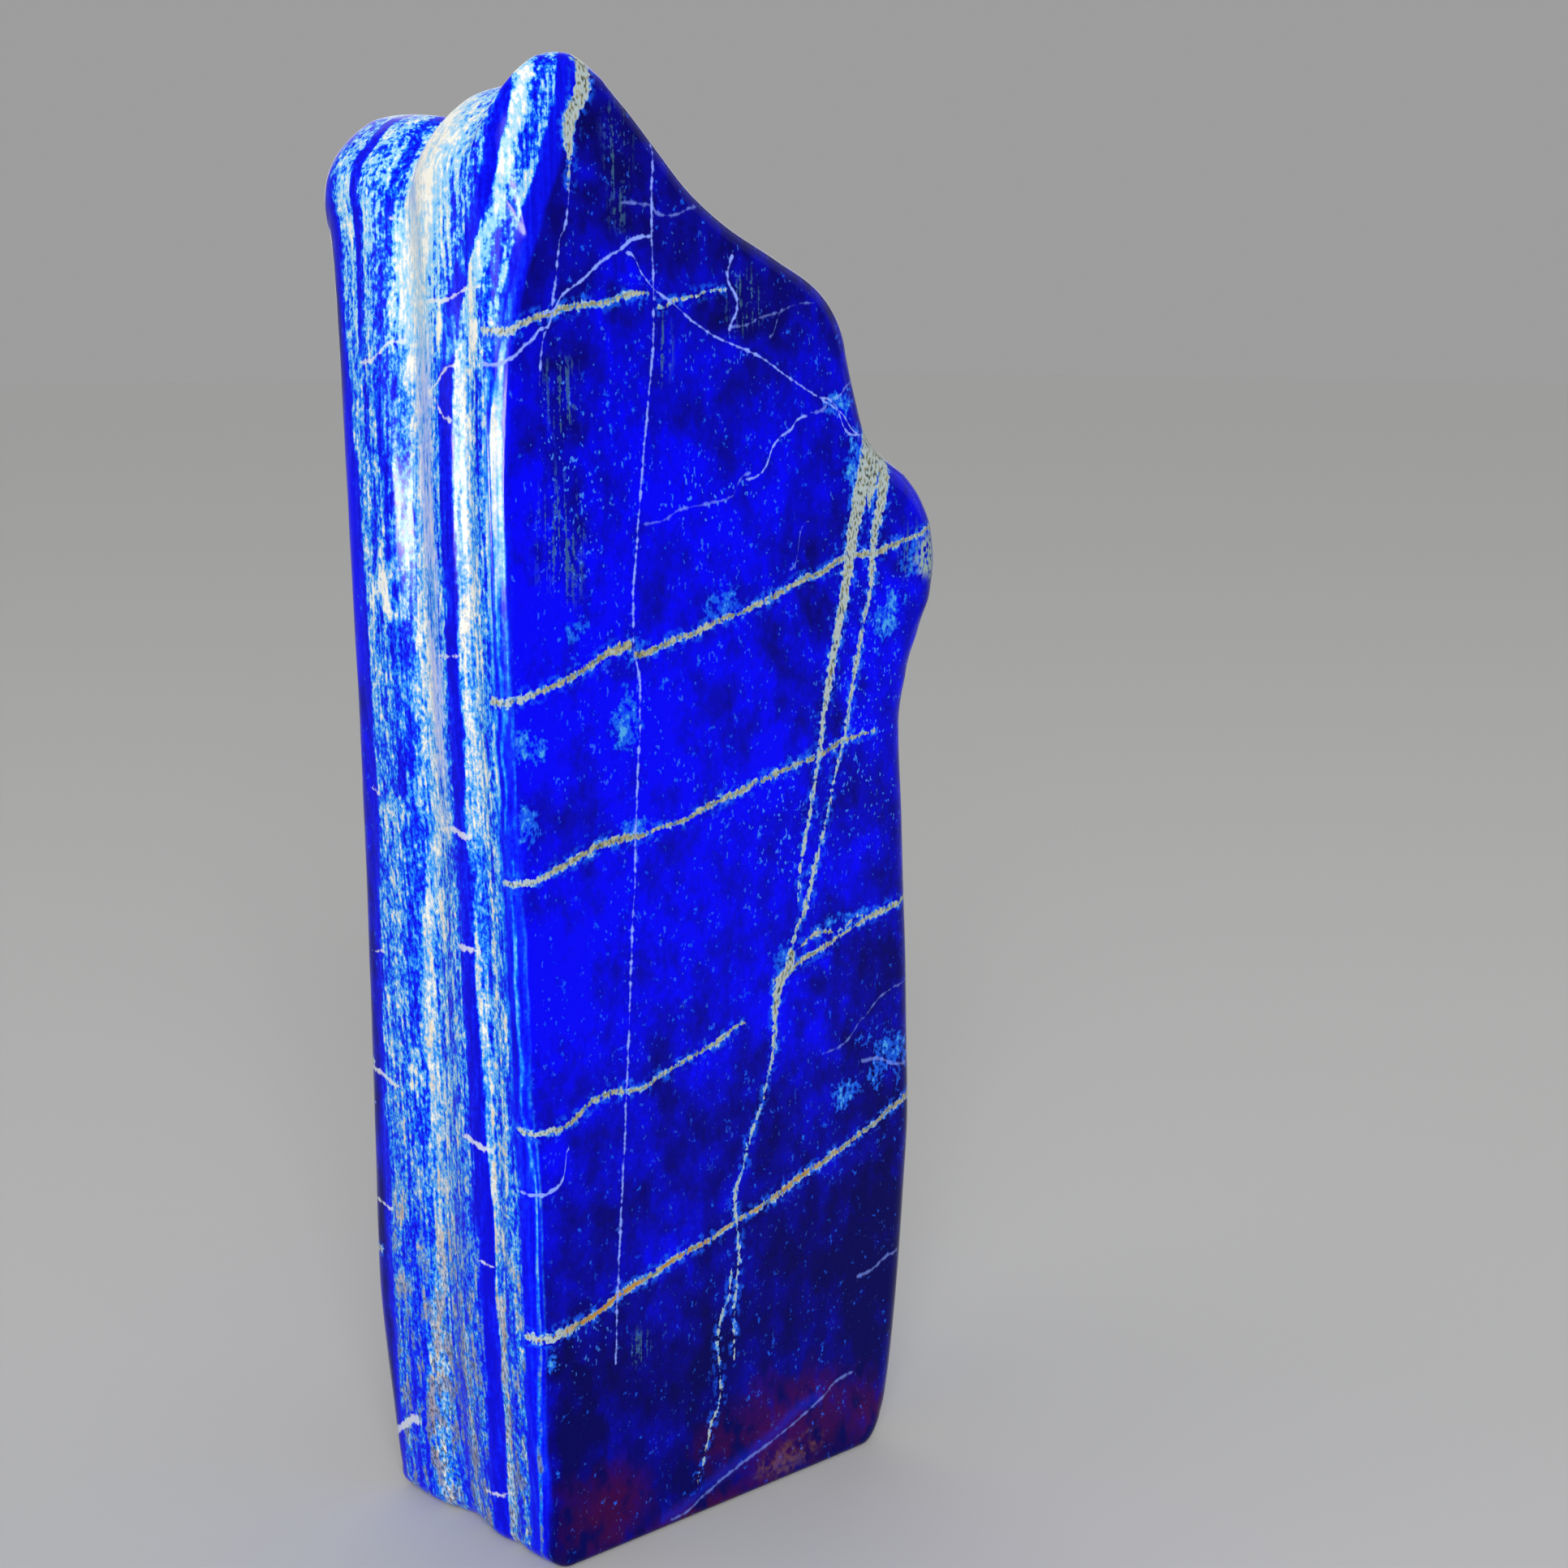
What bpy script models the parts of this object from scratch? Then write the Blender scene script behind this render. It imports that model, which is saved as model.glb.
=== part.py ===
"""A polished lapis lazuli freeform: one upright slab of stone, cut flat underneath so that it stands.

Metres, +Z up. The broad polished face looks along -Y, the fluted banded side along -X, and the origin is
on the ground under the middle of the stone.
"""

import bmesh
import bpy
import numpy as np

# Outline of the broad face, from the foot of its left edge: x to the right, z up
LEFT_EDGE = [
    (0.000, -0.0004), (0.012, -0.0016), (0.040, -0.0036), (0.078, -0.0044), (0.120, -0.0060),
    (0.150, -0.0078), (0.180, -0.0084), (0.215, -0.0080), (0.250, -0.0076),
]
TOP_EDGE = [
    (-0.0076, 0.2430), (-0.0010, 0.2472), (0.0035, 0.2500), (0.0080, 0.2508), (0.0135, 0.2484),
    (0.0180, 0.2446), (0.0255, 0.2374), (0.0330, 0.2304), (0.0410, 0.2254), (0.0520, 0.2202),
    (0.0600, 0.2162), (0.0675, 0.2090),
]
RIGHT_EDGE = [
    (0.0000, 0.0765), (0.0080, 0.0800), (0.0250, 0.0826), (0.0500, 0.0848), (0.0640, 0.0856),
    (0.0900, 0.0848), (0.1200, 0.0834), (0.1380, 0.0824), (0.1480, 0.0844), (0.1560, 0.0878),
    (0.1620, 0.0902), (0.1675, 0.0908), (0.1735, 0.0900), (0.1788, 0.0874), (0.1832, 0.0832),
    (0.1866, 0.0778), (0.1908, 0.0732), (0.1970, 0.0708), (0.2030, 0.0690), (0.2140, 0.0662),
]
# Where each edge ends and a rounded corner of the outline begins
FOOT_LEFT_HEIGHT = 0.0035
PEAK_LEFT_HEIGHT = 0.2350
PEAK_START_X = 0.0020
SHOULDER_START_X = 0.0590
SHOULDER_HEIGHT = 0.2060
FOOT_RIGHT_HEIGHT = 0.0040
FOOT_RIGHT_X = 0.0725
FOOT_LEFT_X = 0.0030

# Thickness from the broad face to the back, by height
THICKNESS = [
    (0.000, 0.0470), (0.015, 0.0486), (0.040, 0.0494), (0.080, 0.0480), (0.120, 0.0458),
    (0.150, 0.0438), (0.180, 0.0444), (0.215, 0.0470), (0.250, 0.0496),
]
# Roundness of the long edges, by height on the left and fixed elsewhere
FRONT_LEFT_RADIUS = [
    (0.000, 0.0020), (0.010, 0.0034), (0.060, 0.0031), (0.110, 0.0021), (0.150, 0.0016),
    (0.190, 0.0020), (0.215, 0.0042), (0.232, 0.0076), (0.250, 0.0070),
]
BACK_LEFT_RADIUS = [(0.000, 0.0030), (0.012, 0.0060), (0.120, 0.0055), (0.215, 0.0070), (0.250, 0.0085)]
TOP_FRONT_RADIUS = 0.0036
TOP_BACK_RADIUS = 0.0080
RIGHT_FRONT_RADIUS = 0.0055
RIGHT_BACK_RADIUS = 0.0090
BASE_FRONT_RADIUS = 0.0016
BASE_BACK_RADIUS = 0.0022

# How far the top drops below the broad face's rim, by share of the thickness from front to back
TOP_DROP = [
    (0.00, 0.0000), (0.06, 0.0000), (0.15, 0.0038), (0.25, 0.0050), (0.35, 0.0052), (0.43, 0.0064),
    (0.50, 0.0094), (0.56, 0.0096), (0.66, 0.0080), (0.85, 0.0074), (1.00, 0.0080),
]
TOP_DROP_FROM = 0.200
TOP_DROP_SPAN = 0.050

# The right side swells a little across its thickness and draws in towards the back
RIGHT_CROWN = 0.0012
RIGHT_TAPER = 0.0036
RIGHT_FROM_X = 0.050
RIGHT_FADE = 0.020

# Two grooves run up the left side: place across the thickness, depth and half width, by height
GROOVE_PLACE = [(0.000, 0.54), (0.060, 0.52), (0.150, 0.47), (0.200, 0.48), (0.250, 0.52)]
GROOVE_DEPTH = [(0.000, 0.0023), (0.060, 0.0016), (0.150, 0.0015), (0.215, 0.0024), (0.250, 0.0030)]
GROOVE_WIDTH = [(0.000, 0.14), (0.060, 0.12), (0.150, 0.10), (0.250, 0.09)]
FLUTE_PLACE = [(0.000, 0.25), (0.060, 0.20), (0.150, 0.17), (0.250, 0.15)]
FLUTE_DEPTH = [(0.000, 0.0010), (0.060, 0.0007), (0.150, 0.0008), (0.200, 0.0007), (0.240, 0.0000)]
FLUTE_WIDTH = [(0.000, 0.06), (0.250, 0.05)]
SIDE_CROWN = 0.0012
SIDE_SPLAY = 0.0016
# The back lobe of the top swells out to the left: how far, and where across the thickness and up the side
LOBE_SWELL = 0.0024
LOBE_PLACE = 0.86
LOBE_WIDTH = 0.24
LOBE_HEIGHT = 0.247
LOBE_SPAN = 0.011
FLUTES_END_X = 0.035
FLUTES_FADE = 0.030

# The middle line of the broad face and of the back, where their facets meet
SPINE_FOOT = (0.039, 0.016)
SPINE_HEAD = (0.030, 0.196)
FACE_CROWN = 0.0004
BACK_CROWN = 0.0014
BACK_WAVE = 0.0007
BACK_WAVE_ACROSS = 0.110
BACK_WAVE_UP = 0.170

# The foot of the left edge, seen from the origin
FOOT_PLACE = (-0.04045, -0.0255)

# Samples along each stretch of the outline, from which the stations are taken
LEFT_SAMPLES = 300
TOP_SAMPLES = 150
RIGHT_SAMPLES = 400
BASE_SAMPLES = 100
CORNER_SAMPLES = 20

# Facets: stations around the outline, then rows from the broad face to the back
STATIONS = 140
FACE_ROWS = 3
FRONT_EDGE_ROWS = 4
SIDE_ROWS = 16
BACK_EDGE_ROWS = 4
BACK_ROWS = 6
TURN_LENGTH = 0.018
RADIUS_SMOOTHING = 4
MERGE_DISTANCE = 1e-6

BLUE = (0.004, 0.008, 0.42, 1.0)
POLISH_ROUGHNESS = 0.12


def smooth_through(points):
    """A cubic through hand-set points that never overshoots them."""
    x, y = np.array(points).T
    slope = np.diff(y) / np.diff(x)
    tangent = np.zeros_like(y)
    before, after = slope[:-1], slope[1:]
    same_way = before * after > 0
    tangent[1:-1][same_way] = (2 * before * after)[same_way] / (before + after)[same_way]
    tangent[0], tangent[-1] = slope[0], slope[-1]

    def curve(at):
        at = np.clip(at, x[0], x[-1])
        k = np.clip(np.searchsorted(x, at, "right") - 1, 0, len(x) - 2)
        step = x[k + 1] - x[k]
        s = (at - x[k]) / step
        return (
            (2 * s**3 - 3 * s**2 + 1) * y[k]
            + (s**3 - 2 * s**2 + s) * step * tangent[k]
            + (3 * s**2 - 2 * s**3) * y[k + 1]
            + (s**3 - s**2) * step * tangent[k + 1]
        )

    return curve


def ease(share):
    """Rises from 0 to 1 with level ends."""
    share = np.clip(share, 0, 1)
    return share * share * (3 - 2 * share)


def corner(first, second):
    """The bend that joins the end of one stretch to the start of the next, keeping both directions."""
    start, end = first[-1], second[0]
    reach = np.linalg.norm((end - start)[:2])
    out = (first[-1] - first[-2]) / np.linalg.norm((first[-1] - first[-2])[:2]) * reach
    into = (second[1] - second[0]) / np.linalg.norm((second[1] - second[0])[:2]) * reach
    s = np.linspace(0, 1, CORNER_SAMPLES + 2)[1:-1, None]
    bend = (2 * s**3 - 3 * s**2 + 1) * start + (3 * s**2 - 2 * s**3) * end
    bend[:, :2] += ((s**3 - 2 * s**2 + s) * out + (s**3 - s**2) * into)[:, :2]
    return bend


def outline():
    """The outline as rows of x, z, front roundness and back roundness, clockwise from the left foot."""
    z = np.linspace(FOOT_LEFT_HEIGHT, PEAK_LEFT_HEIGHT, LEFT_SAMPLES)
    left = np.stack(
        [
            smooth_through(LEFT_EDGE)(z),
            z,
            smooth_through(FRONT_LEFT_RADIUS)(z),
            smooth_through(BACK_LEFT_RADIUS)(z),
        ],
        axis=1,
    )
    x = np.linspace(PEAK_START_X, SHOULDER_START_X, TOP_SAMPLES)
    flat = np.ones_like(x)
    top = np.stack([x, smooth_through(TOP_EDGE)(x), TOP_FRONT_RADIUS * flat, TOP_BACK_RADIUS * flat], axis=1)
    z = np.linspace(SHOULDER_HEIGHT, FOOT_RIGHT_HEIGHT, RIGHT_SAMPLES)
    flat = np.ones_like(z)
    right = np.stack(
        [smooth_through(RIGHT_EDGE)(z), z, RIGHT_FRONT_RADIUS * flat, RIGHT_BACK_RADIUS * flat], axis=1
    )
    x = np.linspace(FOOT_RIGHT_X, FOOT_LEFT_X, BASE_SAMPLES)
    flat = np.ones_like(x)
    base = np.stack([x, 0 * x, BASE_FRONT_RADIUS * flat, BASE_BACK_RADIUS * flat], axis=1)
    stretches = [left, top, right, base]
    joined = []
    for stretch, following in zip(stretches, stretches[1:] + stretches[:1]):
        joined += [stretch, corner(stretch, following)]
    return np.concatenate(joined)


def spread(points, count):
    """Takes count points along a line, closer together where it turns."""
    step = np.diff(points[:, :2], axis=0)
    length = np.linalg.norm(step, axis=1)
    heading = np.unwrap(np.arctan2(step[:, 1], step[:, 0]))
    turn = np.abs(np.diff(heading, prepend=heading[0]))
    measure = np.concatenate([[0], np.cumsum(length + TURN_LENGTH * turn)])
    at = np.linspace(0, measure[-1], count, endpoint=False)
    return np.stack([np.interp(at, measure, column) for column in points.T], axis=1)


def stations():
    """The outline from the middle of its base, with as many stations up the left as down the right."""
    ring = outline()
    in_base = np.flatnonzero(ring[:, 1] <= 0)
    middle = in_base[np.argmin(np.abs(ring[in_base, 0] - SPINE_FOOT[0]))]
    ring = np.roll(ring, -middle, axis=0)
    ring = np.concatenate([ring, ring[:1]])
    on_top = np.flatnonzero(ring[:, 1] > SPINE_HEAD[1])
    head = on_top[np.argmin(np.abs(ring[on_top, 0] - SPINE_HEAD[0]))]
    return np.concatenate([spread(ring[: head + 1], STATIONS // 2), spread(ring[head:], STATIONS // 2)])


def side_relief(depth_share, height):
    """How far the left side is moved to +X: two grooves less the crown, and the splay to the back."""
    groove = (depth_share - smooth_through(GROOVE_PLACE)(height)) / smooth_through(GROOVE_WIDTH)(height)
    flute = (depth_share - smooth_through(FLUTE_PLACE)(height)) / smooth_through(FLUTE_WIDTH)(height)
    relief = smooth_through(GROOVE_DEPTH)(height) * np.exp(-(groove**2))
    relief += smooth_through(FLUTE_DEPTH)(height) * np.exp(-(flute**2))
    relief -= SIDE_CROWN * 4 * depth_share * (1 - depth_share) + SIDE_SPLAY * depth_share
    lobe = ((depth_share - LOBE_PLACE) / LOBE_WIDTH) ** 2 + ((height - LOBE_HEIGHT) / LOBE_SPAN) ** 2
    return relief - LOBE_SWELL * np.exp(-lobe)


def right_relief(depth_share):
    """How far the right side is moved to +X: the swell across it less the taper to the back."""
    return RIGHT_CROWN * 4 * depth_share * (1 - depth_share) - RIGHT_TAPER * depth_share**2


def back_level(x, z, inward):
    """Depth of the back: the thickness at that height, a crown and one slow wave, both nil at the rim."""
    wave = np.sin(2 * np.pi * x / BACK_WAVE_ACROSS) * np.sin(2 * np.pi * z / BACK_WAVE_UP)
    crown = 1 - (1 - inward) ** 2
    return smooth_through(THICKNESS)(z) + (BACK_CROWN + BACK_WAVE * wave) * crown


def stone_rows():
    """Every row of the stone as an array of points, from the broad face's middle line to the back's."""
    ring = stations()
    x, z, front_radius, back_radius = ring.T
    ahead, behind = np.roll(ring[:, :2], -1, axis=0), np.roll(ring[:, :2], 1, axis=0)
    along = (ahead - behind) / np.linalg.norm(ahead - behind, axis=1, keepdims=True)
    outward = np.stack([-along[:, 1], along[:, 0]], axis=1)
    for _ in range(RADIUS_SMOOTHING):
        front_radius = (np.roll(front_radius, 1) + 2 * front_radius + np.roll(front_radius, -1)) / 4
        back_radius = (np.roll(back_radius, 1) + 2 * back_radius + np.roll(back_radius, -1)) / 4
    thickness = smooth_through(THICKNESS)(z)
    half = STATIONS // 2
    climb = np.concatenate([np.arange(half), half - np.arange(half)]) / half
    spine = np.array(SPINE_FOOT) + climb[:, None] * (np.array(SPINE_HEAD) - np.array(SPINE_FOOT))
    left_share = ease((FLUTES_END_X - x) / FLUTES_FADE)
    right_share = ease((x - RIGHT_FROM_X) / RIGHT_FADE)
    drop_share = ease((z - TOP_DROP_FROM) / TOP_DROP_SPAN)

    def row(inset, y, inward=0.0):
        depth_share = np.clip(y / thickness, 0, 1)
        flat = ring[:, :2] - outward * inset[:, None]
        flat = flat + (spine - flat) * inward
        shift = side_relief(depth_share, z) * left_share + right_relief(depth_share) * right_share
        drop = smooth_through(TOP_DROP)(depth_share) * drop_share
        return np.stack([flat[:, 0] + shift * (1 - inward), y, flat[:, 1] - drop * (1 - inward)], axis=1)

    rows = []
    for k in range(FACE_ROWS, 0, -1):
        inward = k / FACE_ROWS
        rows.append(row(front_radius, -FACE_CROWN * (1 - (1 - inward) ** 2) * np.ones_like(x), inward))
    for k in range(FRONT_EDGE_ROWS + 1):
        angle = np.pi / 2 * k / FRONT_EDGE_ROWS
        rows.append(row(front_radius * (1 - np.sin(angle)), front_radius * (1 - np.cos(angle))))
    for k in range(1, SIDE_ROWS):
        between = front_radius + (thickness - back_radius - front_radius) * k / SIDE_ROWS
        rows.append(row(0 * x, between))
    for k in range(BACK_EDGE_ROWS + 1):
        angle = np.pi / 2 * k / BACK_EDGE_ROWS
        rows.append(row(back_radius * (1 - np.cos(angle)), thickness - back_radius * (1 - np.sin(angle))))
    for k in range(1, BACK_ROWS + 1):
        inward = k / BACK_ROWS
        closing = row(back_radius, thickness, inward)
        closing[:, 1] = back_level(closing[:, 0], closing[:, 2], inward)
        rows.append(closing)
    return np.array(rows) + np.array([FOOT_PLACE[0], FOOT_PLACE[1], 0.0])


def stone_material():
    """Deep blue stone with a high polish."""
    material = bpy.data.materials.new("polished_lapis")
    material.use_nodes = True
    shader = material.node_tree.nodes["Principled BSDF"]
    shader.inputs["Base Color"].default_value = BLUE
    shader.inputs["Roughness"].default_value = POLISH_ROUGHNESS
    shader.inputs["Metallic"].default_value = 0.0
    return material


def make_stone():
    """Joins the rows with four-sided facets and closes them along the two middle lines."""
    rows = stone_rows()
    count = rows.shape[0]
    index = np.arange(count * STATIONS).reshape(count, STATIONS)
    here, there = index[:-1], index[1:]
    quads = np.stack([here, there, np.roll(there, -1, axis=1), np.roll(here, -1, axis=1)], axis=-1)
    mesh = bpy.data.meshes.new("lapis_stone")
    mesh.from_pydata(rows.reshape(-1, 3).tolist(), [], quads.reshape(-1, 4).tolist())
    shape = bmesh.new()
    shape.from_mesh(mesh)
    bmesh.ops.remove_doubles(shape, verts=shape.verts, dist=MERGE_DISTANCE)
    bmesh.ops.dissolve_degenerate(shape, edges=shape.edges, dist=MERGE_DISTANCE)
    bmesh.ops.recalc_face_normals(shape, faces=shape.faces)
    shape.to_mesh(mesh)
    shape.free()
    mesh.shade_smooth()
    mesh.materials.append(stone_material())
    stone = bpy.data.objects.new("lapis_stone", mesh)
    bpy.context.scene.collection.objects.link(stone)
    return stone


for old in list(bpy.data.objects):
    bpy.data.objects.remove(old, do_unlink=True)
make_stone()
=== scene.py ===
"""The looks of a polished lapis lazuli freeform: its surface, its layers and veins, a pale floor and soft light."""

import math

import bpy
import numpy as np
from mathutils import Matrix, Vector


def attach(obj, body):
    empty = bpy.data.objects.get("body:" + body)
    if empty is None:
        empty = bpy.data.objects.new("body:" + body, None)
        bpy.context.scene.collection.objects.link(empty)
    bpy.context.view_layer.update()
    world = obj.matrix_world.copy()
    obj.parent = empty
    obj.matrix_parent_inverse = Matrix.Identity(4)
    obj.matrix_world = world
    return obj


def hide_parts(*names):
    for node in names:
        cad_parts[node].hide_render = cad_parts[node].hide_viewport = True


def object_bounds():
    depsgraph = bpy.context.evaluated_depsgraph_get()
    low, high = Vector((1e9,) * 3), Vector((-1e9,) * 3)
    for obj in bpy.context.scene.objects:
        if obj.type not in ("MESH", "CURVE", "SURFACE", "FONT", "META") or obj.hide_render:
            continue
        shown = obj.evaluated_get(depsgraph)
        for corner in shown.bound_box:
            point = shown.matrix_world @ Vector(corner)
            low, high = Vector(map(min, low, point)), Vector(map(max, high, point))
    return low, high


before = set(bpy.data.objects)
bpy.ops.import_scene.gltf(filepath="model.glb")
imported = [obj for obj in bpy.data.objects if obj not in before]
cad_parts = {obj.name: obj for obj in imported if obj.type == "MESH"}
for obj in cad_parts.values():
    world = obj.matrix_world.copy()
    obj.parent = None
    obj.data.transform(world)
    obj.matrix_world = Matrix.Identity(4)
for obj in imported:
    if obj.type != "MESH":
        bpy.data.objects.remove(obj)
CAD_BOX = [list(corner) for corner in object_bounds()]

# The stone's shape, in metres: the same outline and sections as the frame's solid, with finer steps.
# Outline of the broad face, from the foot of its left edge
LEFT_EDGE = [
    (0.000, -0.0004), (0.012, -0.0016), (0.040, -0.0036), (0.078, -0.0044), (0.120, -0.0060),
    (0.150, -0.0078), (0.180, -0.0084), (0.215, -0.0080), (0.250, -0.0076),
]
TOP_EDGE = [
    (-0.0076, 0.2430), (-0.0010, 0.2472), (0.0035, 0.2500), (0.0080, 0.2508), (0.0135, 0.2484),
    (0.0180, 0.2446), (0.0255, 0.2374), (0.0330, 0.2304), (0.0410, 0.2254), (0.0520, 0.2202),
    (0.0600, 0.2162), (0.0675, 0.2090),
]
RIGHT_EDGE = [
    (0.0000, 0.0765), (0.0080, 0.0800), (0.0250, 0.0826), (0.0500, 0.0848), (0.0640, 0.0856),
    (0.0900, 0.0848), (0.1200, 0.0834), (0.1380, 0.0824), (0.1480, 0.0844), (0.1560, 0.0878),
    (0.1620, 0.0902), (0.1675, 0.0908), (0.1735, 0.0900), (0.1788, 0.0874), (0.1832, 0.0832),
    (0.1866, 0.0778), (0.1908, 0.0732), (0.1970, 0.0708), (0.2030, 0.0690), (0.2140, 0.0662),
]
FOOT_LEFT_HEIGHT = 0.0035
PEAK_LEFT_HEIGHT = 0.2350
PEAK_START_X = 0.0020
SHOULDER_START_X = 0.0590
SHOULDER_HEIGHT = 0.2060
FOOT_RIGHT_HEIGHT = 0.0040
FOOT_RIGHT_X = 0.0725
FOOT_LEFT_X = 0.0030

# Thickness by height, and the roundness of the long edges
THICKNESS = [
    (0.000, 0.0470), (0.015, 0.0486), (0.040, 0.0494), (0.080, 0.0480), (0.120, 0.0458),
    (0.150, 0.0438), (0.180, 0.0444), (0.215, 0.0470), (0.250, 0.0496),
]
FRONT_LEFT_RADIUS = [
    (0.000, 0.0020), (0.010, 0.0034), (0.060, 0.0031), (0.110, 0.0021), (0.150, 0.0016),
    (0.190, 0.0020), (0.215, 0.0042), (0.232, 0.0076), (0.250, 0.0070),
]
BACK_LEFT_RADIUS = [(0.000, 0.0030), (0.012, 0.0060), (0.120, 0.0055), (0.215, 0.0070), (0.250, 0.0085)]
TOP_FRONT_RADIUS = 0.0036
TOP_BACK_RADIUS = 0.0080
RIGHT_FRONT_RADIUS = 0.0055
RIGHT_BACK_RADIUS = 0.0090
BASE_FRONT_RADIUS = 0.0016
BASE_BACK_RADIUS = 0.0022

# How far the top drops below the broad face's rim, by share of the thickness
TOP_DROP = [
    (0.00, 0.0000), (0.06, 0.0000), (0.15, 0.0046), (0.25, 0.0044), (0.35, 0.0050), (0.43, 0.0064),
    (0.50, 0.0094), (0.56, 0.0096), (0.66, 0.0080), (0.85, 0.0074), (1.00, 0.0080),
]
TOP_DROP_FROM = 0.200
TOP_DROP_SPAN = 0.050
RIGHT_CROWN = 0.0012
RIGHT_TAPER = 0.0036
RIGHT_FROM_X = 0.050
RIGHT_FADE = 0.020

# The two grooves of the left side: place across the thickness, depth and half width, by height
GROOVE_PLACE = [(0.000, 0.54), (0.060, 0.52), (0.150, 0.47), (0.200, 0.48), (0.250, 0.52)]
GROOVE_DEPTH = [(0.000, 0.0023), (0.060, 0.0016), (0.150, 0.0015), (0.215, 0.0024), (0.250, 0.0030)]
GROOVE_WIDTH = [(0.000, 0.14), (0.060, 0.12), (0.150, 0.10), (0.250, 0.09)]
FLUTE_PLACE = [(0.000, 0.25), (0.060, 0.20), (0.150, 0.17), (0.250, 0.15)]
FLUTE_DEPTH = [(0.000, 0.0010), (0.060, 0.0007), (0.150, 0.0008), (0.200, 0.0007), (0.240, 0.0000)]
FLUTE_WIDTH = [(0.000, 0.06), (0.250, 0.05)]
SIDE_CROWN = 0.0012
SIDE_SPLAY = 0.0016
LOBE_SWELL = 0.0024
LOBE_PLACE = 0.86
LOBE_WIDTH = 0.24
LOBE_HEIGHT = 0.247
LOBE_SPAN = 0.011
FLUTES_END_X = 0.035
FLUTES_FADE = 0.030

# The middle lines where the two broad faces close, and their slight swell
SPINE_FOOT = (0.039, 0.016)
SPINE_HEAD = (0.030, 0.196)
FACE_CROWN = 0.0004
BACK_CROWN = 0.0014
BACK_WAVE = 0.0007
BACK_WAVE_ACROSS = 0.110
BACK_WAVE_UP = 0.170
FOOT_PLACE = (-0.04045, -0.0255)

# Fine relief that the polishing left: long ripples on the layered side and a slow unevenness all round
RIPPLE_HEIGHT = 0.00004
RIPPLE_LENGTHS = (0.0058, 0.0037, 0.0023)
RIPPLE_DRIFT = 0.0021
RIPPLE_DRIFT_LENGTH = 0.090
UNEVEN_HEIGHT = 0.00009
UNEVEN_LENGTHS = (0.047, 0.031, 0.019)
UNEVEN_FROM = 0.004
UNEVEN_FADE = 0.020

STATIONS = 620
FACE_ROWS = 10
FRONT_EDGE_ROWS = 12
SIDE_ROWS = 84
BACK_EDGE_ROWS = 14
BACK_ROWS = 12
STRETCH_SAMPLES = 1200
CORNER_SAMPLES = 80
TURN_LENGTH = 0.018
RADIUS_SMOOTHING = 60


def smooth_through(points):
    """A cubic through listed points that never overshoots them: Hermite pieces with harmonic-mean slopes."""
    x, y = np.array(points).T
    slope = np.diff(y) / np.diff(x)
    tangent = np.zeros_like(y)
    before, after = slope[:-1], slope[1:]
    same_way = before * after > 0
    tangent[1:-1][same_way] = (2 * before * after)[same_way] / (before + after)[same_way]
    tangent[0], tangent[-1] = slope[0], slope[-1]

    def curve(at):
        at = np.clip(at, x[0], x[-1])
        k = np.clip(np.searchsorted(x, at, "right") - 1, 0, len(x) - 2)
        step = x[k + 1] - x[k]
        s = (at - x[k]) / step
        return (
            (2 * s**3 - 3 * s**2 + 1) * y[k]
            + (s**3 - 2 * s**2 + s) * step * tangent[k]
            + (3 * s**2 - 2 * s**3) * y[k + 1]
            + (s**3 - s**2) * step * tangent[k + 1]
        )

    return curve


def ease(share):
    """Rises from 0 to 1 with level ends: 3 s squared less 2 s cubed."""
    share = np.clip(share, 0, 1)
    return share * share * (3 - 2 * share)


def corner(first, second):
    """The bend from the end of one stretch to the start of the next, a Hermite curve that keeps both directions."""
    start, end = first[-1], second[0]
    reach = np.linalg.norm((end - start)[:2])
    out = (first[-1] - first[-2]) / np.linalg.norm((first[-1] - first[-2])[:2]) * reach
    into = (second[1] - second[0]) / np.linalg.norm((second[1] - second[0])[:2]) * reach
    s = np.linspace(0, 1, CORNER_SAMPLES + 2)[1:-1, None]
    bend = (2 * s**3 - 3 * s**2 + 1) * start + (3 * s**2 - 2 * s**3) * end
    bend[:, :2] += ((s**3 - 2 * s**2 + s) * out + (s**3 - s**2) * into)[:, :2]
    return bend


def outline():
    """The outline as rows of x, z, front roundness and back roundness, clockwise from the left foot."""
    z = np.linspace(FOOT_LEFT_HEIGHT, PEAK_LEFT_HEIGHT, STRETCH_SAMPLES)
    front, back = smooth_through(FRONT_LEFT_RADIUS)(z), smooth_through(BACK_LEFT_RADIUS)(z)
    left = np.stack([smooth_through(LEFT_EDGE)(z), z, front, back], axis=1)
    flat = np.ones(STRETCH_SAMPLES)
    x = np.linspace(PEAK_START_X, SHOULDER_START_X, STRETCH_SAMPLES)
    top = np.stack([x, smooth_through(TOP_EDGE)(x), TOP_FRONT_RADIUS * flat, TOP_BACK_RADIUS * flat], axis=1)
    z = np.linspace(SHOULDER_HEIGHT, FOOT_RIGHT_HEIGHT, STRETCH_SAMPLES)
    x = smooth_through(RIGHT_EDGE)(z)
    right = np.stack([x, z, RIGHT_FRONT_RADIUS * flat, RIGHT_BACK_RADIUS * flat], axis=1)
    x = np.linspace(FOOT_RIGHT_X, FOOT_LEFT_X, STRETCH_SAMPLES)
    base = np.stack([x, 0 * x, BASE_FRONT_RADIUS * flat, BASE_BACK_RADIUS * flat], axis=1)
    stretches = [left, top, right, base]
    joined = []
    for stretch, following in zip(stretches, stretches[1:] + stretches[:1]):
        joined += [stretch, corner(stretch, following)]
    return np.concatenate(joined)


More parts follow.
